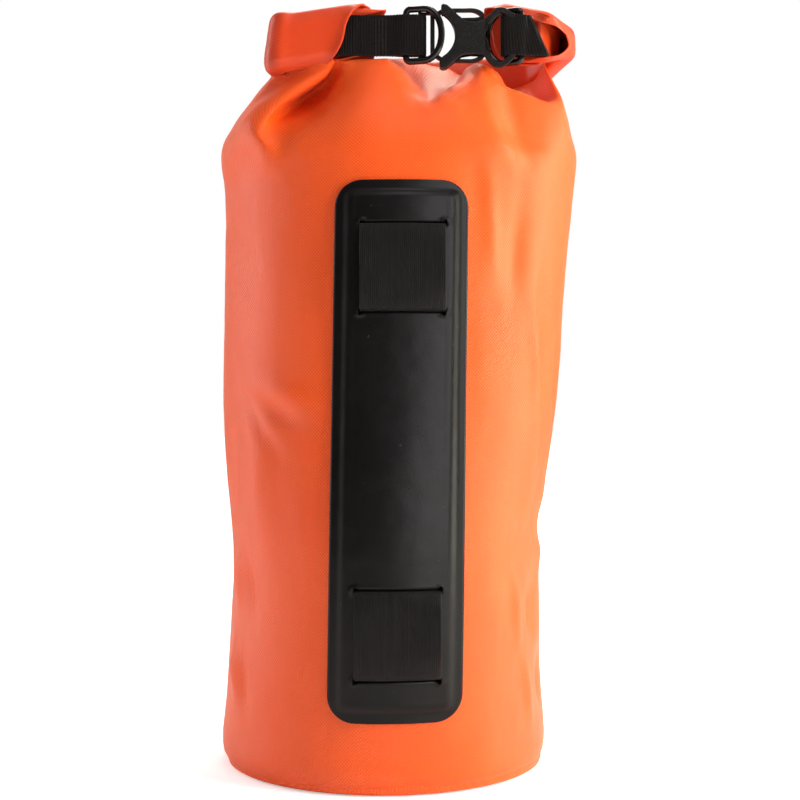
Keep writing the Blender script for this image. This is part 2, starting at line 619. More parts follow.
def body_skin():
    """The shaped skin, its outward normals and the number of tube rings."""
    skin, tube_rows = body_grid()
    # The lower edge is pinched in at the front, a little right of the middle.
    low = smooth01((6.2 - skin[..., 2]) / 6.2) * (skin[..., 1] < 0)
    skin[..., 1] += 7.5 * low * np.exp(-((skin[..., 0] - 13.5) / 6.6) ** 4)

    around = np.roll(skin, -1, axis=1) - np.roll(skin, 1, axis=1)
    normals = np.cross(around, np.gradient(skin, axis=0))
    normals /= np.maximum(np.linalg.norm(normals, axis=-1, keepdims=True), 1e-9)
    relief = np.array([unevenness(*point) for point in skin.reshape(-1, 3)])
    fade = smooth01((skin[..., 2] - 1.0) / 10.0)
    skin = skin + normals * (relief.reshape(skin.shape[:2]) * fade)[..., None]

    for x, z, width, length, height, turn in FRONT_SPOTS:
        swell(skin, skin[..., 0] - x, skin[..., 2] - z, (width, length), height, turn,
              where=skin[..., 1] < 0)
    for bearing, z, width, length, height, turn in BEARING_SPOTS:
        bearings = np.degrees(np.arctan2(skin[..., 1], skin[..., 0] - SKIN_AXIS_X))
        across = np.radians((bearings - bearing + 180.0) % 360.0 - 180.0) * BEARING_RADIUS
        swell(skin, across, skin[..., 2] - z, (width, length), height, turn)
    return skin, normals, tube_rows


def body_uv(skin, tube_rows):
    """Metres round the tube's top ring, and mean metres up the lines."""
    ring = skin[tube_rows - 1]
    around = np.cumsum(np.linalg.norm(np.roll(ring, -1, axis=0) - ring, axis=1))
    up = np.cumsum(np.linalg.norm(np.diff(skin, axis=0), axis=2).mean(axis=1))
    u, v = np.concatenate([[0.0], around]), np.concatenate([[0.0], up])
    return np.stack(np.meshgrid(u * MM, v * MM), -1)


def build_body():
    skin, normals, tube_rows = body_skin()
    uv = body_uv(skin, tube_rows)
    # The weld up the back is a flat band of doubled cloth.
    middle = skin[tube_rows // 2]
    band = np.where((np.abs(middle[:, 0] - 4.0) < 8.5) & (middle[:, 1] > 0))[0]
    below_roll = np.arange(len(skin)) < len(skin) - 3
    rows = np.where((skin[:, band[0], 2] > 12.0) & below_roll)[0]
    raised = (skin + normals * 0.45)[rows][:, band]
    weld = link("back_weld", grid_mesh("back_weld", raised, uv[rows][:, band]), FABRIC_PLAIN)
    thicken(weld, 0.5)
    register(weld, "bag")

    bag = link("bag_skin", grid_mesh("bag_skin", skin, uv, closed=True), FABRIC)
    register(bag, "bag", "bag_body")


build_body()

# ---------------------------------------------------------------------------- rolled mouth
# Plan of the roll: x, y, middle height, height scale, corner radius. It starts right of the left
# end, so that each wound layer can be trimmed on its own.
ROLL = np.array([
    (6, -51.0, 374.4, 1.0, 0), (-18, -50.5, 372.6, 1.0, 0), (-53.8, -49.3, 367.9, 1.0, 3.4),
    (-50, -5, 366.5, 1.0, 14), (-34, 8, 363, 1.0, 16), (12, 12, 357.6, 0.98, 30),
    (58, 8, 360.5, 0.92, 22), (80, -3, 366, 0.78, 16), (95, -25, 374.4, 0.50, 9),
    (80.5, -47.6, 372.2, 0.88, 5), (62, -41.5, 375.4, 1.03, 10), (44, -36, 373.5, 1.0, 0)])
ROLL_CORNER = 2          # row of ROLL at the front left corner
TURNS = 2.35
HALF_HEIGHT, HALF_DEPTH = 15.0, 6.15

# Where the layers end: turns inwards from the neck (0 bottom, 0.25 rear, 0.5 top, 0.75 front,
# 1 bottom again), then x at the left end
LEFT_TRIM = np.array([
    (-0.1, -6), (0.06, -5), (0.25, -4), (0.38, -7), (0.46, -10), (0.54, -12.5), (0.60, -15.2),
    (0.75, -21.4), (0.88, -27.4), (0.93, -28), (1.0, -25), (1.08, -8), (1.25, -2), (1.38, 1),
    (1.47, 1.5), (1.55, -12), (1.62, -22), (1.72, -31), (1.9, -33), (2.02, -30), (2.1, -20),
    (2.2, -12), (2.5, -10)])
# and the distance short of the plan's end at the right, with a notch in the front layers
RIGHT_TRIM = np.array([
    (-0.1, 16), (0.05, 12), (0.25, 6), (0.42, 7), (0.50, 9), (0.55, 14), (0.59, 22),
    (0.622, 31), (0.652, 42), (0.683, 49), (0.705, 51), (0.735, 50.5), (0.775, 47.5),
    (0.82, 42.5), (0.90, 33), (0.99, 24), (1.06, 15), (1.25, 9), (1.42, 13), (1.50, 20),
    (1.56, 36), (1.63, 60), (1.75, 74), (1.9, 68), (2.0, 50), (2.08, 36), (2.16, 30),
    (2.35, 29)])


def filleted(points, radii):
    """The points' outline with its corners rounded in plan."""
    outline = [points[0]]
    for i in range(1, len(points) - 1):
        corner = points[i]
        back, ahead = points[i - 1] - corner, points[i + 1] - corner
        back_length, ahead_length = np.linalg.norm(back[:2]), np.linalg.norm(ahead[:2])
        cosine = np.dot(back[:2], ahead[:2]) / (back_length * ahead_length)
        half_angle = math.acos(np.clip(cosine, -1, 1)) / 2
        if radii[i] <= 0 or half_angle > 1.55:
            outline.append(corner)
            continue
        cut = min(radii[i] / math.tan(half_angle), back_length * 0.48, ahead_length * 0.48)
        start = corner + back * (cut / back_length)
        end = corner + ahead * (cut / ahead_length)
        count = max(4, int(2 * cut))
        for k in range(count + 1):
            t = k / count
            outline.append(start * (1 - t) ** 2 + corner * (2 * t * (1 - t)) + end * t * t)
    outline.append(points[-1])
    return np.array(outline)


PATH = Path(filleted(ROLL[:, :4], ROLL[:, 4]))
CORNER_S = float(PATH.distance[np.argmin(np.hypot(*(PATH.points - ROLL[ROLL_CORNER, :4]).T[:2]))])


def roll_section(turn, s, start, end, scale):
    """Offsets of the wound sheet from the path, out of the C and up.

    start and end are the path lengths at which each layer stops.
    """
    # Flattened spiral, narrower at its top
    angle = -math.pi / 2 - 0.35 - 2 * math.pi * turn
    cos, sin = np.cos(angle), np.sin(angle)
    out = (HALF_DEPTH - 1.42 * turn) * np.sign(cos) * np.abs(cos) ** 0.55
    up = (HALF_HEIGHT - 1.35 * turn) * np.sign(sin) * np.abs(sin) ** 0.62
    out = out * (1.0 - 0.16 * up / HALF_HEIGHT)
    # Long shallow buckles along the roll, weaker at its start and in its heart
    wave = (0.55 * np.sin(s / 11.0 + 2.2 * turn)
            + 0.4 * np.sin(s / 6.3 + 1.3 + 3.1 * up / HALF_HEIGHT)
            + 0.25 * np.sin(s / 3.9 + up / 4.0))
    strength = (0.35 + 0.65 * smooth01((s - 18.0) / 20.0)) * np.clip(1 - turn / TURNS, 0.2, 1)
    out = out + wave * 0.5 * np.sign(cos) * strength
    up = up * scale
    # The front layers flare at both ends.
    left_end = np.exp(-(s - start) / 3.2)
    out = out + 1.9 * left_end * window(turn, 0.5, 0.12, 1.02, 0.1)
    out = out + 0.9 * left_end * window(turn, 1.5, 0.12, 2.0, 0.1)
    out = out + 1.5 * np.exp(-(end - s) / 4.0) * window(turn, 0.45, 0.15, 1.1, 0.12)
    # Left of the gap the second turn lies far back; the outer front bulges at the top and tucks
    # in at the bottom, under a soft ridge.
    bay = smooth01((CORNER_S + 1.0 - s) / 5.0)
    second = (turn > 1.5) & (turn < 2.05) & (out > 0)
    out = np.where(second, out * (1.0 - 0.9 * bay), out)
    outer = bay * (turn < 1.0) * (out > 0)
    out = out + outer * 0.8 * smooth01((up - 2.0) / 7.0)
    ridge = 0.45 * np.exp(-((up + 5.5 + 0.05 * s) / 1.8) ** 2)
    out = out - outer * (1.7 * smooth01((-up - 8.0) / 6.0) - ridge)
    # The front left corner stands out and its top is raised.
    corner = np.exp(-np.abs((s - CORNER_S) / 3.6) ** 2.0)
    out = out * np.where(out > 0, 1.0 + 0.26 * corner, 1.0)
    peak = np.exp(-np.abs((s - CORNER_S - 1.5) / 6.0) ** 2.0)
    up = up + 1.6 * peak * smooth01((up - 6.0) / 6.0)
    # The inner turns' top edge sags at the left end.
    sag = np.exp(-((s - start) / 11.0) ** 2) * window(turn, 1.15, 0.12, 1.64, 0.10)
    up = up - 2.2 * sag * smooth01(up / 6.0)
    # The lower lip at the left end is lifted and drawn forward.
    lip_turns = window(turn, 0.92, 0.08, 1.16, 0.06) + smooth01((0.10 - turn) / 0.08)
    up = up + 1.2 * np.exp(-(s - start) / 5.0) * lip_turns
    out = out + 3.2 * np.exp(-(s - start) / 8.0) * window(turn, 0.90, 0.06, 1.12, 0.06)
    return out, up


def roll_mesh(name):
    turn = np.linspace(0.0, TURNS, int((56) * TURNS) + 1)[:, None]
    count = 210
    start = ROLL[0, 0] - np.interp(turn, *LEFT_TRIM.T)
    end = PATH.length - np.interp(turn, *RIGHT_TRIM.T)
    s = start + (end - start) * np.linspace(0.0, 1.0, count)[None, :]
    place, normal = PATH.get(s), PATH.normal(s)
    out, up = roll_section(turn, s, start, end, place[..., 3])
    grid = place[..., :3].copy()
    grid[..., :2] += normal * out[..., None]
    # The corner leans to the right towards its top.
    grid[..., 0] += 1.8 * np.exp(-((s - CORNER_S) / 16.0) ** 2) * (up + 15.0) / 30.0
    grid[..., 2] += up
    steps = np.linalg.norm(np.diff(grid[:, count // 2], axis=0), axis=1)
    wound = np.concatenate([[0.0], np.cumsum(steps)])[:, None]
    return grid_mesh(name, grid, np.stack([s * MM, np.broadcast_to(wound * MM, s.shape)], -1))


def stiffener_mesh(name):
    """The strip at the heart of the roll, following its plan."""
    s = np.linspace(40.0, PATH.length - 78.0, 120)
    across = np.linspace(-1, 1, 9)
    half_height = 8.5
    place, normal = PATH.get(s), PATH.normal(s)
    grid = np.zeros((len(s), len(across), 3))
    taper = np.minimum(1.0, np.minimum(s - s[0], s[-1] - s) / 5.0 + 0.45)
    for j, t in enumerate(across):
        grid[:, j, :2] = place[:, :2] + normal * (0.35 * (1 - t * t))
        grid[:, j, 2] = place[:, 2] + t * half_height * place[:, 3] * taper
    uv = np.stack(np.meshgrid(s * MM, across * half_height * MM, indexing="ij"), -1)
    return grid_mesh(name, grid, uv)


roll = link("rolled_mouth_skin", roll_mesh("rolled_mouth_skin"), FABRIC_PLAIN)
thicken(roll, 0.75)
register(roll, "bag", "rolled_mouth")

stiffener = link("mouth_stiffener_skin", stiffener_mesh("mouth_stiffener_skin"))
thicken(stiffener, 1.1)
register(stiffener, "bag", "mouth_stiffener")

# ---------------------------------------------------------------------------- base
# Profile of the round base, from its middle out to the flange inside the wall: radius, height
BASE_PROFILE = [
    (0.0, 2.4), (14, 2.3), (28, 2.0), (42, 1.6), (54, 1.2), (64, 0.95), (72, 0.75),
    (75.4, 0.75), (75.9, 0.35), (79.6, 0.35), (80.1, 0.9), (81.6, 1.0), (82.6, 1.6),
    (83.1, 3.0), (83.25, 7.0), (83.2, 12.5)]


def base_mesh(name):
    """Slightly crowned disc with a turned-up flange and a shallow ring near its edge."""
    count = 160
    angle = np.linspace(0, 2 * math.pi, count + 1)
    rings, uv = [], []
    for radius, height in BASE_PROFILE[1:]:
        ripple = 0.12 * np.sin(5 * angle + radius / 9) + 0.08 * np.sin(11 * angle + radius / 5)
        ripple = ripple * (radius < 79) * min(radius / 40, 1)
        x, y = radius * np.cos(angle), radius * np.sin(angle)
        rings.append(np.stack([x * 0.995, y * 0.995, height + ripple], 1)[:-1])
        uv.append(np.stack([x * MM, y * MM], 1))
    mesh = grid_mesh(name, np.array(rings), np.array(uv), closed=True)
    # A fan closes the middle.
    bm = bmesh.new()
    bm.from_mesh(mesh)
    centre = bm.verts.new((0.0, 0.0, BASE_PROFILE[0][1] * MM))
    bm.verts.ensure_lookup_table()
    for i in range(count):
        face = bm.faces.new((bm.verts[i], bm.verts[(i + 1) % count], centre))
        face.smooth = True
    bmesh.ops.recalc_face_normals(bm, faces=bm.faces)
    bm.to_mesh(mesh)
    bm.free()
    return mesh


base = link("base_skin", base_mesh("base_skin"), BASE_FABRIC)
thicken(base, 0.6)
register(base, "bag", "base_disc")

for sheet, sheet_material in ((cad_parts["backing_board"], BOARD_PLASTIC),
                              (stiffener, STIFFENER_PLASTIC)):
    sheet.data.materials.clear()
    sheet.data.materials.append(sheet_material)

# ---------------------------------------------------------------------------- panel
SLIT_HALF_WIDTH, SLIT_HALF_HEIGHT = 20.9, 0.85
PUCKER_X = 20.2          # raised spots near the slits' ends, from the loop's middle
# Slits at both ends of each loop: height, and which way is away from the loop
SLITS = [(middle + away * (LOOP_HEIGHT / 2 - 0.95), away)
         for _, middle, _ in LOOPS for away in (-1, 1)]


def board_form(side, z):
    """The board's form under the cloth: a plateau with soft shoulders and a bead at its edge."""
    across = float(smooth01((BOARD_WIDTH / 2 + 4.6 - abs(side)) / 4.9))
    along = float(window(z, BOARD_LOW - 3.4, 4.4, BOARD_HIGH + 3.4, 4.4))
    beyond = max(abs(side) - BOARD_WIDTH / 2 + 0.6, BOARD_LOW + 0.6 - z, z - BOARD_HIGH + 0.6)
    bead = 0.30 * math.exp(-(beyond / 0.95) ** 2)
    return BOARD_RISE * across * along + bead * (0.5 + 0.5 * across)


def panel_point(side, z):
    """Point of the panel's inner face; side is the distance right of its middle line."""
    x = panel_centre(z) + side
    soft = 0.22 * cloth_noise(x, z, 3.0, 0.045) + 0.10 * cloth_noise(x, z, 9.0, 0.13)
    y = front_y(x, z) - PANEL_GAP - board_form(side, z) - soft
    lifted = z
    for slit_z, away in SLITS:
        outside = (z - slit_z) * away > 0
        for spot_x in (LOOP_SHIFT - PUCKER_X, LOOP_SHIFT + PUCKER_X):
            dx, dz = side - spot_x, z - slit_z
            if abs(dz) > 8 or abs(dx) > 8:
                continue
            spot = math.exp(-((dx / 1.7) ** 2 + (dz / 1.7) ** 2))
            y -= 2.1 * spot * (1.0 if outside else 0.25)
            if outside:
                lifted += away * 1.7 * math.exp(-(dx / 1.3) ** 2) * math.exp(-(dz / 2.6) ** 2)
        # The slit's lips stand a little off the board.
        if abs(side - LOOP_SHIFT) < 22:
            y -= 0.32 * math.exp(-((z - slit_z) / 1.7) ** 2) * (1.0 if outside else 0.3)
    return x, y, lifted


def snapped(values, exact, clear):
    """The values with the exact ones put in and near neighbours of those left out."""
    kept = [value for value in values if all(abs(value - e) > clear for e in exact)]
    return sorted(kept + exact)


def panel_mesh(name):
    """Round-cornered panel with a slit at both ends of each loop."""
    step = 1.25
    half_width, corner = PANEL_WIDTH / 2, PANEL_CORNER
    slit_edges = [z + d for z, _ in SLITS for d in (-SLIT_HALF_HEIGHT, SLIT_HALF_HEIGHT)]
    straight = int((PANEL_HIGH - PANEL_LOW - 2 * corner) / step) + 1
    heights = snapped(np.linspace(PANEL_LOW + corner, PANEL_HIGH - corner, straight),
                      slit_edges, 0.5 * step)
    steps = 14
    bends = [math.pi / 2 * k / steps for k in range(steps + 1)]
    heights = ([PANEL_LOW + corner * (1 - math.cos(bend)) for bend in bends[:-1]] + heights
               + [PANEL_HIGH - corner * (1 - math.sin(bend)) for bend in bends[1:]])
    slit_ends = [(LOOP_SHIFT + e * SLIT_HALF_WIDTH) / half_width for e in (-1, 1)]
    shares = snapped(np.linspace(-1, 1, int(PANEL_WIDTH / step) + 1), slit_ends,
                     0.5 * step / half_width)
    points, uv = [], []
    for z in heights:
        into = min(max(PANEL_LOW + corner - z, z - (PANEL_HIGH - corner), 0.0), corner)
        half = half_width - corner + math.sqrt(max(0.0, corner ** 2 - into ** 2))
        points.append([panel_point(share * half, z) for share in shares])
        uv.append([(share * half * MM, z * MM) for share in shares])
    mesh = grid_mesh(name, np.array(points), np.array(uv))
    # Open the slits.
    bm = bmesh.new()
    bm.from_mesh(mesh)
    bm.faces.ensure_lookup_table()
    gone = []
    for i in range(len(heights) - 1):
        z = (heights[i] + heights[i + 1]) / 2
        if not any(abs(z - slit_z) < 0.8 for slit_z, _ in SLITS):
            continue
        for j in range(len(shares) - 1):
            side = (shares[j] + shares[j + 1]) / 2 * half_width
            if abs(side - LOOP_SHIFT) < SLIT_HALF_WIDTH:
                gone.append(bm.faces[i * (len(shares) - 1) + j])
    bmesh.ops.delete(bm, geom=gone, context="FACES")
    bm.to_mesh(mesh)
    bm.free()
    return mesh


def backing_mesh(name):
    """Thin black cloth behind the board, seen only through the slits."""
    heights, sides = np.linspace(46.0, 287.0, 80), np.linspace(-23.0, 24.0, 24)
    grid = np.array([[(panel_centre(z) + side, front_y(panel_centre(z) + side, z) - 0.16, z)
                      for side in sides] for z in heights])
    return grid_mesh(name, grid, np.stack(np.meshgrid(sides * MM, heights * MM), -1))


panel = link("panel_skin", panel_mesh("panel_skin"), PANEL_FABRIC)
thicken(panel, PANEL_THICK, offset=1.0)
register(panel, "bag", "reinforcement_panel")
backing = link("panel_backing", backing_mesh("panel_backing"), PANEL_FABRIC)
thicken(backing, 0.14, offset=1.0)
register(backing, "bag")

# ---------------------------------------------------------------------------- loops
# Lower half of a loop's profile: share of its half height, stand-off from the panel's face
LOOP_PROFILE = [(-0.985, -3.3), (-0.985, -1.2), (-0.972, 0.6), (-0.93, 2.0), (-0.82, 3.0),
                (-0.6, 3.75), (-0.3, 4.15)]
LOOP_RIB_PITCH = 0.95


def loop_mesh(name, middle, crease_strength):
    """Wide ribbed tape arched out of one slit and into the other."""
    upper = [(-share, off) for share, off in reversed(LOOP_PROFILE)]
    knots = np.array(LOOP_PROFILE + [(0.0, 4.25)] + upper)
    profile = catmull(knots * np.array([LOOP_HEIGHT / 2 - 0.8, 1.0]), 6)
    count = int(LOOP_WIDTH / LOOP_RIB_PITCH * 5)
    across = np.linspace(-LOOP_WIDTH / 2, LOOP_WIDTH / 2, count)
    centre = panel_centre(middle) + LOOP_SHIFT
    lift = PANEL_GAP + BOARD_RISE + PANEL_THICK
    face = front_y(centre, middle) - lift
    grid = np.zeros((len(profile), count, 3))
    for i, (dz, off) in enumerate(profile):
        # Flat across its middle, following the panel near the slits
        hold = float(smooth01(abs(dz) / (LOOP_HEIGHT / 2) * 1.6 - 0.6))
        for j, dx in enumerate(across):
            x, z = centre + dx, middle + dz
            y = face * (1 - hold) + (front_y(x, z) - lift) * hold - off
            wander = 0.7 * cloth_noise(dx, dz, 1.0, 0.12)
            y -= 0.07 * math.sin(2 * math.pi * dx / LOOP_RIB_PITCH + wander)
            y -= 0.16 * cloth_noise(dx, dz, 5.0, 0.07) + 0.07 * cloth_noise(dx, dz, 7.0, 0.25)
            crease = 0.22 * math.exp(-((dz + 15.2 + 0.06 * dx) / 0.9) ** 2) * crease_strength
            y += crease * float(smooth01((dx + 6) / 8))
            y += 0.35 * float(smooth01((abs(dx) - LOOP_WIDTH / 2 + 0.7) / 0.7))
            grid[i, j] = (x, y, z)
    uv = np.stack(np.meshgrid(across * MM, profile[:, 0] * MM), -1)
    return grid_mesh(name, grid, uv)


for piece, middle_z, crease_share in LOOPS:
    loop = link(piece + "_skin", loop_mesh(piece + "_skin", middle_z, crease_share), LOOP_WEBBING)
    thicken(loop, 1.25)
    register(loop, "bag", piece)

# ---------------------------------------------------------------------------- closure webbing
TAPE_WIDTH, TAPE_THICK = 20.0, 1.3
TAPE_HALF = 0.68         # a laid tape's middle line, from the plane between two layers
TAPE_LAID = TAPE_HALF + 0.05
WRAP_RADIUS = 2.3
RIB_PITCH, RIB_HEIGHT = 1.35, 0.24


def wrap(x, start, end):
    """Bend of the tape round a bar at x, from one angle to another."""
    angles = [math.radians(start + (end - start) * k / 6) for k in range(7)]
    return [(x + WRAP_RADIUS * math.cos(a), WRAP_RADIUS * math.sin(a)) for a in angles]


def build_strap(name, plan, slant=0.0):
    """Ribbed tape, standing on edge.

    plan(z) is its middle line in x and y from STRAP_Y, at a height above the tape's middle.
    slant cuts the first end off at an angle: length lost for each mm of height.
    """
    def line_at(z):
        return Path(catmull(plan(z), 8))

    half = TAPE_WIDTH / 2
    length = line_at(0.0).length
    count = int(length / (0.21))
    s = np.linspace(0.0, length, count)
    heights = np.linspace(-half, half, 56)
    grid = np.zeros((count, len(heights), 3))
    uv = np.zeros((count, len(heights), 2))
    for j, z in enumerate(heights):
        line = line_at(z)
        lost = slant * (z + half)
        t = lost + s * (line.length - lost) / length
        along = t if slant else s
        rib = 2 * math.pi * along / RIB_PITCH
        phase = 0.9 * np.sin(2 * math.pi * z / 1.25) * np.cos(along * 0.7)
        inside = smooth01((half - abs(z)) / 1.1)
        off = RIB_HEIGHT * np.sin(rib + phase) * (0.35 + 0.65 * inside)
        grid[:, j, :2] = line.get(t) + line.normal(t, 0.8) * off[:, None]
        grid[:, j, 1] += STRAP_Y
        grid[:, j, 2] = STRAP_Z + z + 0.06 * np.sin(rib + 1.0) * (1 - inside) * np.sign(z)
        uv[:, j, 0], uv[:, j, 1] = along * MM, z * MM
    strap = link(name, grid_mesh(name, grid, uv), STRAP_WEBBING)
    thicken(strap, TAPE_THICK)
    return strap


def left_plan(z):
    """Doubled tape from the roll round the buckle's bar and back, the same at every height."""
    front = [(-28, -TAPE_LAID), (-20, -TAPE_LAID), (-12, -TAPE_LAID), (-5, -TAPE_LAID),
             (3, -TAPE_HALF - 0.1), (6.5, -1.45), (9.5, -2.25), (13.5, -WRAP_RADIUS)]
    rear = [(13.5, WRAP_RADIUS), (9.5, 2.25), (6.5, 1.45), (3, TAPE_HALF + 0.1),
            (-4, TAPE_LAID), (-9, TAPE_LAID)]
    return front + wrap(18.4, -90, 90) + rear


def right_plan(z):
    """Tape folded back along a slanting line, further right at its lower edge."""
    fold = 76.0 - 0.46 * z
    rear = [(fold + 0.6, 2.9), (fold + 0.1, TAPE_HALF + 0.6), (fold - 2.2, TAPE_HALF + 0.1),
            (70.6, TAPE_HALF + 0.55), (69.4, 1.9), (66.5, WRAP_RADIUS)]
    front = [(66.5, -WRAP_RADIUS), (69.6, -1.9), (71.0, -TAPE_HALF - 0.75),
             (fold - 1.5, -TAPE_HALF - 0.1), (fold + 0.9, -TAPE_HALF + 0.1),
             (fold + 1.75, 0.7), (fold + 1.9, 3.2)]
    return rear + wrap(61.5, 90, 270) + front


def build_stitches(name):
    """Upright rows of thread: each stitch rises out of the tape, runs along it and dips back."""
    pitch, reach = 2.6, 9.2
    length = pitch * 0.76
    y = STRAP_Y - 2 * TAPE_HALF - 0.12
    curve = bpy.data.curves.new(name, "CURVE")
    curve.dimensions = "3D"
    curve.bevel_depth = 0.2 * MM
    curve.bevel_resolution = 2
    curve.use_fill_caps = True
    for x in (-3.8, -2.2, -0.4, 1.2):
        for z in np.arange(STRAP_Z - reach, STRAP_Z + reach - pitch * 0.75, pitch):
            poly_spline(curve, [
                (x, y + 0.15, z), (x, y - 0.16, z + 0.28), (x, y - 0.2, z + pitch * 0.38),
                (x, y - 0.16, z + length - 0.28), (x, y + 0.15, z + length)])
    return curve_to_mesh(link(name, curve, THREAD))


# The left tape's first end is cut on the slant, so that it stays inside the roll's end.
left_strap = build_strap("left_strap_skin", left_plan, slant=0.43)
register(left_strap, "male_side", "left_strap")
register(build_stitches("left_strap_stitching"), "male_side")
right_strap = build_strap("right_strap_skin", right_plan)
register(right_strap, "bag", "right_strap")

# ---------------------------------------------------------------------------- D-rings
RING_ROD = 1.3
RING_HALF, RING_CORNER = 13.0, 2.4
RING_FLAT, RING_BOW = 8.8, 9.4   # reach of the straight sides, and of the bow beyond them


def ring_outline():
    """The D as (distance from its straight bar, height)."""
    corner, straight = RING_CORNER, RING_HALF - RING_CORNER
    bar = [(0.0, z) for z in np.linspace(-straight, straight, 15)]
    upper = [(corner - corner * math.cos(a), straight + corner * math.sin(a))
             for a in np.linspace(0, math.pi / 2, 9)[1:]]
    upper += [(u, RING_HALF) for u in np.linspace(corner, RING_FLAT, 5)[1:]]
    bow = []
    for a in np.linspace(math.pi / 2, -math.pi / 2, 41)[1:-1]:
        height = RING_HALF * math.copysign(abs(math.sin(a)) ** 0.96, math.sin(a))
        bow.append((RING_FLAT + RING_BOW * abs(math.cos(a)) ** 0.96, height))
    return bar + upper + bow + [(u, -z) for u, z in reversed(upper)]


def build_ring(name, bar_x, tilt, towards):
    """Ring whose bow lies on the towards side (1 right, -1 left), turned about its bar."""
    curve = bpy.data.curves.new(name, "CURVE")
    curve.dimensions = "3D"
    curve.bevel_depth = RING_ROD * MM
    curve.bevel_resolution = 7
    outline = ring_outline()
    cos, sin = math.cos(math.radians(-tilt)), math.sin(math.radians(-tilt))
    spline = poly_spline(curve, [
        (bar_x + u * towards * cos, STRAP_Y + u * towards * sin, STRAP_Z + z)
        for u, z in outline], cyclic=True)
    # Thinner along the bar
    for point, (u, z) in zip(spline.points, outline):
        thicker = (abs(z) - 9.6) / 1.6 if u < 2.5 else 1.0
        point.radius = 1.0 + 0.28 * float(smooth01(thicker))
    spline.use_smooth = True
    return curve_to_mesh(link(name, curve, RING_PLASTIC))


for side_name, bar_x, tilt, towards in (("left", 11.3, 15.0, 1.0), ("right", 68.7, 25.0, -1.0)):
    ring = build_ring(side_name + "_ring_skin", bar_x, tilt, towards)
    register(ring, side_name + "_ring", side_name + "_d_ring")


# ---------------------------------------------------------------------------- buckle
def crease_edges(mesh):
    """Smooth faces in the first material slot, with the sharper edges left hard."""
    bm = bmesh.new()
    bm.from_mesh(mesh)
    for face in bm.faces:
        face.smooth = True
        face.material_index = 0
    for edge in bm.edges:
        edge.smooth = not (edge.is_manifold and edge.calc_face_angle(0.0) > math.radians(32))
    bm.to_mesh(mesh)
    bm.free()


def moulded(name, outlines, half, bevel, forward=0.0):
    """Flat moulding with rounded edges: outlines in x and z, thickened by half to both sides."""
    curve = bpy.data.curves.new(name, "CURVE")
    curve.dimensions = "2D"
    curve.fill_mode = "BOTH"
    curve.extrude = (half - bevel) * MM
    curve.bevel_depth = bevel * MM
    curve.bevel_resolution = 4
    curve.offset = -bevel * MM
    for outline in outlines:
        poly_spline(curve, [(x, z, 0.0) for x, z in outline], cyclic=True)
    obj = link(name, curve, BUCKLE_PLASTIC)
    obj.rotation_euler = (math.radians(90.0), 0.0, 0.0)
    obj.location = (0.0, (STRAP_Y - forward) * MM, STRAP_Z * MM)
    obj = curve_to_mesh(obj)
    bake_transform(obj)
    crease_edges(obj.data)
    return obj


def bake_transform(obj):
    obj.data.transform(obj.matrix_world)
    obj.matrix_world = Matrix.Identity(4)


def combine(target, tool, operation):
    boolean = target.modifiers.new(operation, "BOOLEAN")
    boolean.operation = operation
    boolean.solver = "EXACT"
    boolean.object = tool
    apply_modifiers(target)
    bpy.data.objects.remove(tool)


def ribbon(points, widths):
    """Closed outline round a curve through the points, with pointed ends; widths are halves."""
    line = catmull(points, 5)
    width = np.interp(np.linspace(0, 1, len(line)), np.linspace(0, 1, len(widths)), widths)
    along = np.gradient(line, axis=0)
    along /= np.linalg.norm(along, axis=1, keepdims=True)
    offset = np.stack([-along[:, 1], along[:, 0]], 1) * width[:, None]
    start = line[0] - along[0] * widths[0] * 0.7
    end = line[-1] + along[-1] * widths[-1] * 0.7
    return [*(line + offset), end, *(line - offset)[::-1], start]


# Outlines in x and z, with z from the webbing's middle
MALE_FRAME = [(17.3, -11.4), (17.6, -11.6), (23.5, -11.6), (25.0, -11.3), (25.6, -10.6),
              (25.6, 10.6), (25.0, 11.3), (23.5, 11.6), (17.6, 11.6), (17.3, 11.4)]
MALE_HOLE = [(19.6, -10.3), (23.4, -10.3), (23.4, 10.3), (19.6, 10.3)]
# Upper prong's middle line, and half widths spread evenly along it
PRONG = [(26.35, 10.15), (28.6, 11.7), (31.0, 12.4), (35.0, 12.6), (40.0, 12.6), (44.5, 12.6),
         (47.2, 11.8), (49.2, 10.2), (49.0, 8.7), (46.6, 8.1), (42.0, 8.0), (37.0, 8.0)]
PRONG_WIDTHS = [0.95, 0.9, 0.85, 0.75, 0.75, 0.8, 1.0, 1.1, 0.95, 0.8, 0.7, 0.65]
# Female half: upper and lower edges of the housing, and the round hollow on its left
HOUSING_TOP = [(29.2, 10.4), (28.8, 12.4), (28.8, 14.5), (29.6, 15.3), (31.6, 14.9),
               (34.4, 12.5), (36.9, 10.0), (40.1, 7.3), (43.8, 6.5), (47.4, 6.5), (50.6, 7.2)]
HOUSING_LOW = [(28.4, -11.9), (27.8, -13.6), (28.0, -15.8), (29.2, -16.8), (31.4, -16.5),
               (34.2, -14.3), (36.2, -12.4), (39.2, -10.3), (43.4, -9.6), (46.8, -9.7),
               (50.6, -10.2)]
HOLLOW_X, HOLLOW_RADIUS = 23.16, 12.54
ARMS = {
    "upper": [(47.5, 4.4), (50.2, 5.9), (53.1, 8.3), (55.6, 10.9), (57.3, 12.2), (59.6, 12.1),
              (61.6, 11.0), (63.4, 9.9), (64.9, 9.4)],
    "lower": [(47.5, -6.6), (49.8, -8.2), (51.8, -10.3), (53.9, -13.0), (56.2, -14.9),
              (58.8, -14.8), (61.4, -13.3), (63.2, -11.6), (64.8, -10.6)],
}
ARM_WIDTHS = [2.5, 2.0, 1.5, 1.4, 1.4, 1.4, 1.35, 1.3, 1.2]
ARM_FORWARD = 1.75
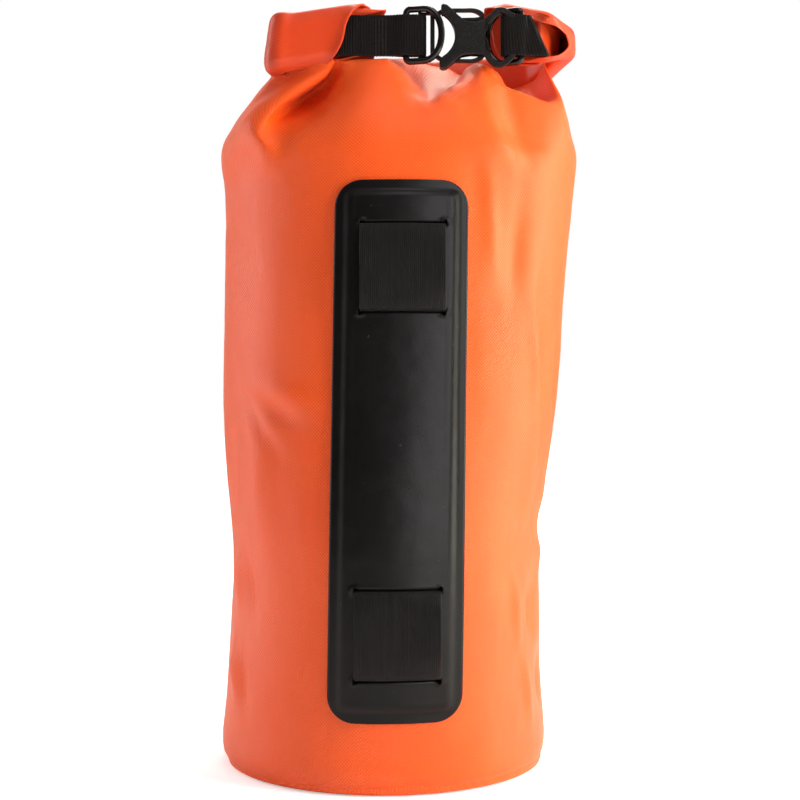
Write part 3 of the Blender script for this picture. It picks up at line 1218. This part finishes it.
ARM_WEB = [(46.0, 6.2), (50.0, 7.0), (52.4, 7.6), (51.6, 5.0), (50.9, 2.4), (50.7, 0.0),
           (50.9, -2.4), (51.6, -5.0), (52.4, -7.6), (50.0, -7.0), (46.0, -6.2)]
BAR_X, BAR_RADIUS, BAR_LENGTH = 61.4, 1.25, 24.4
# Channels inside the housing: x range, distances from the middle, depth
CHANNEL_LEFT, CHANNEL_RIGHT = 25.0, 50.9
CHANNEL_NEAR, CHANNEL_FAR, CHANNEL_DEPTH = 4.6, 13.9, 4.0


def build_female(name):
    """Housing with two channels, and two webbed arms that hold the webbing bar."""
    hollow = []
    for degrees in range(-58, 59, 5):
        angle = math.radians(degrees)
        hollow.append((HOLLOW_X + HOLLOW_RADIUS * math.cos(angle),
                       HOLLOW_RADIUS * math.sin(angle)))
    female = moulded(name, [HOUSING_TOP + HOUSING_LOW[::-1] + hollow], half=3.5, bevel=0.6)
    for label, line in ARMS.items():
        arm = moulded("arm_" + label, [ribbon(line, ARM_WIDTHS)], half=1.45, bevel=0.5,
                      forward=ARM_FORWARD)
        combine(female, arm, "UNION")
    web = moulded("arm_web", [ARM_WEB], half=1.2, bevel=0.4, forward=ARM_FORWARD)
    combine(female, web, "UNION")
    bpy.ops.mesh.primitive_cylinder_add(
        vertices=24, radius=BAR_RADIUS * MM, depth=BAR_LENGTH * MM,
        location=(BAR_X * MM, STRAP_Y * MM, STRAP_Z * MM))
    combine(female, bpy.context.object, "UNION")
    for sign in (1, -1):
        middle = sign * (CHANNEL_NEAR + CHANNEL_FAR) / 2
        bpy.ops.mesh.primitive_cube_add(size=1.0, location=(
            (CHANNEL_LEFT + CHANNEL_RIGHT) / 2 * MM, STRAP_Y * MM, (STRAP_Z + middle) * MM))
        box = bpy.context.object
        box.scale = ((CHANNEL_RIGHT - CHANNEL_LEFT) * MM, CHANNEL_DEPTH * MM,
                     (CHANNEL_FAR - CHANNEL_NEAR) * MM)
        bpy.context.view_layer.update()
        bake_transform(box)
        combine(female, box, "DIFFERENCE")
    # Two small ribs on the front, where the arms part
    for sign in (1.0, -1.0):
        line = [(50.4, sign * 1.2), (51.6, sign * 3.4), (52.0, sign * 5.4), (53.0, sign * 7.4)]
        rib = moulded("rib", [ribbon(line, [0.45] * 4)], half=0.7, bevel=0.2, forward=2.9)
        combine(female, rib, "UNION")
    female.data.materials.clear()
    female.data.materials.append(BUCKLE_PLASTIC)
    crease_edges(female.data)
    return female


male = moulded("buckle_male_skin", [MALE_FRAME, MALE_HOLE], half=1.1, bevel=0.35)
register(male, "male_side", "buckle_male")
for piece, sign in (("upper_prong", 1.0), ("lower_prong", -1.0)):
    prong_line = ribbon([(x, sign * z) for x, z in PRONG], PRONG_WIDTHS)
    prong = moulded(piece + "_skin", [prong_line], half=1.7, bevel=0.25)
    register(prong, piece + "_body", piece)
register(build_female("buckle_female_skin"), "bag", "buckle_female")


# ---------------------------------------------------------------------------- stage (metres)
def floor_material(name):
    """Pale floor that runs out into the white surround."""
    material, shader = new_material(name)
    place = shader.add("ShaderNodeTexCoord").outputs["Object"]
    distance = shader.add("ShaderNodeVectorMath", {0: place}, operation="LENGTH").outputs["Value"]
    # The glow grows from 0.35 m out, over 0.9 m.
    away = shader.math("DIVIDE", shader.math("SUBTRACT", distance, 0.35), 0.9, clamp=True)
    seen = shader.add("ShaderNodeLightPath").outputs["Is Camera Ray"]
    shader.feed(shader.bsdf, {
        "Base Color": (0.93, 0.93, 0.93),
        "Roughness": 0.85,
        "Emission Color": (1.0, 1.0, 1.0),
        "Emission Strength": shader.math(
            "MULTIPLY", seen, shader.math("MULTIPLY_ADD", away, 0.65, 0.45)),
    })
    # Clear when seen from below, and under the bag, so that the base can be looked at
    looking = shader.split(shader.add("ShaderNodeNewGeometry").outputs["Incoming"])
    clear = shader.math("MAXIMUM", shader.math("LESS_THAN", looking[2], 0.0),
                        shader.math("LESS_THAN", distance, 0.072))
    glass = shader.add("ShaderNodeBsdfTransparent").outputs[0]
    mixed = shader.add("ShaderNodeMixShader", {0: clear, 1: shader.bsdf.outputs[0], 2: glass})
    shader.feed(shader.output, {"Surface": mixed.outputs[0]})
    return material


def build_floor(name):
    material = floor_material(name)
    bm = bmesh.new()
    bmesh.ops.create_circle(bm, cap_ends=True, segments=96, radius=7.0)
    mesh = bpy.data.meshes.new(name)
    bm.to_mesh(mesh)
    bm.free()
    floor = link(name, mesh, material)
    floor.location.z = -0.2 * MM


def build_camera():
    data = bpy.data.cameras.new("camera")
    data.sensor_width = 36.0
    data.lens = 67.455
    camera = link("camera", data)
    camera.location = (0.0083, -0.8, 0.1903)
    camera.rotation_euler = (math.radians(90.0), 0.0, 0.0)
    bpy.context.scene.camera = camera


def build_world():
    """White to the camera; as light, a pale room with a bright wall behind the bag."""
    world = bpy.data.worlds.new("studio")
    bpy.context.scene.world = world
    world.use_nodes = True
    shader = Shader(world.node_tree)
    output = shader.add("ShaderNodeOutputWorld")
    white = shader.add("ShaderNodeBackground", {0: (1.0, 1.0, 1.0), 1: 1.0})
    x, y, z = shader.split(shader.add("ShaderNodeTexCoord").outputs["Generated"])
    # The room is brighter to the right and above.
    side = shader.math("MULTIPLY_ADD", x, 0.08, 0.13)
    above = shader.math("MULTIPLY", shader.math("MAXIMUM", z, 0.0), 0.26)
    room = shader.add("ShaderNodeBackground", {
        0: (0.82, 0.60, 0.63), 1: shader.math("ADD", side, above)})
    behind = shader.math("POWER", shader.math("MAXIMUM", y, 0.0), 1.5)
    wall = shader.add("ShaderNodeBackground", {
        0: (1.0, 0.95, 0.86), 1: shader.math("MULTIPLY", behind, 0.62)})
    light = shader.add("ShaderNodeAddShader", {0: room.outputs[0], 1: wall.outputs[0]})
    seen = shader.add("ShaderNodeLightPath").outputs["Is Camera Ray"]
    mixed = shader.add("ShaderNodeMixShader", {0: seen, 1: light.outputs[0], 2: white.outputs[0]})
    shader.feed(output, {0: mixed.outputs[0]})


def area(name, place, size, power, target=(0.0, 0.0, 0.2), colour=(1, 1, 1), height=None):
    """Area light aimed at the target; square unless it has a height of its own."""
    data = bpy.data.lights.new(name, "AREA")
    data.energy = power
    data.color = colour
    data.size = size
    if height:
        data.shape = "RECTANGLE"
        data.size_y = height
    lamp = link(name, data)
    lamp.location = place
    lamp.rotation_euler = (Vector(target) - Vector(place)).to_track_quat("-Z", "Y").to_euler()
    return lamp


def build_lights():
    key_place = (1.22, -0.62, 0.50)
    key = area("key_right", key_place, size=0.50, height=1.2, power=30.0,
               colour=(1.0, 0.99, 0.90))
    key.visible_glossy = False
    area("key_gloss", key_place, size=0.50, height=1.2, power=8.0, colour=(1.0, 0.985, 0.90))
    area("side_right", (1.30, 0.16, 0.45), size=0.40, height=1.2, power=14.0,
         colour=(1.0, 0.97, 0.78))
    fill = area("fill_left", (-1.15, -0.75, 0.45), size=0.9, height=1.2, power=3.7,
                colour=(1.0, 0.80, 0.80))
    fill.visible_glossy = False
    area("rim_left", (-0.95, 0.22, 0.40), size=0.30, height=1.1, power=5.0)
    area("top", (0.06, 0.34, 1.12), size=0.40, power=4.8, target=(0.0, -0.04, 0.34),
         colour=(1.0, 0.90, 0.76))
    area("top_front", (0.12, -0.55, 1.10), size=0.45, power=1.7, target=(0.0, -0.06, 0.30))
    # A broad soft reflection on the panel only
    gloss = area("panel_gloss", (0.78, -1.04, 0.40), size=0.95, height=1.3, power=14.0,
                 target=(0.0, -0.08, 0.19), colour=(1.0, 0.985, 0.99))
    gloss.visible_diffuse = False
    receivers = bpy.data.collections.new("panel_light_receivers")
    receivers.objects.link(panel)
    gloss.light_linking.receiver_collection = receivers


build_floor("stage_floor")
build_camera()
bpy.context.scene.view_settings.view_transform = "Standard"
build_world()
build_lights()
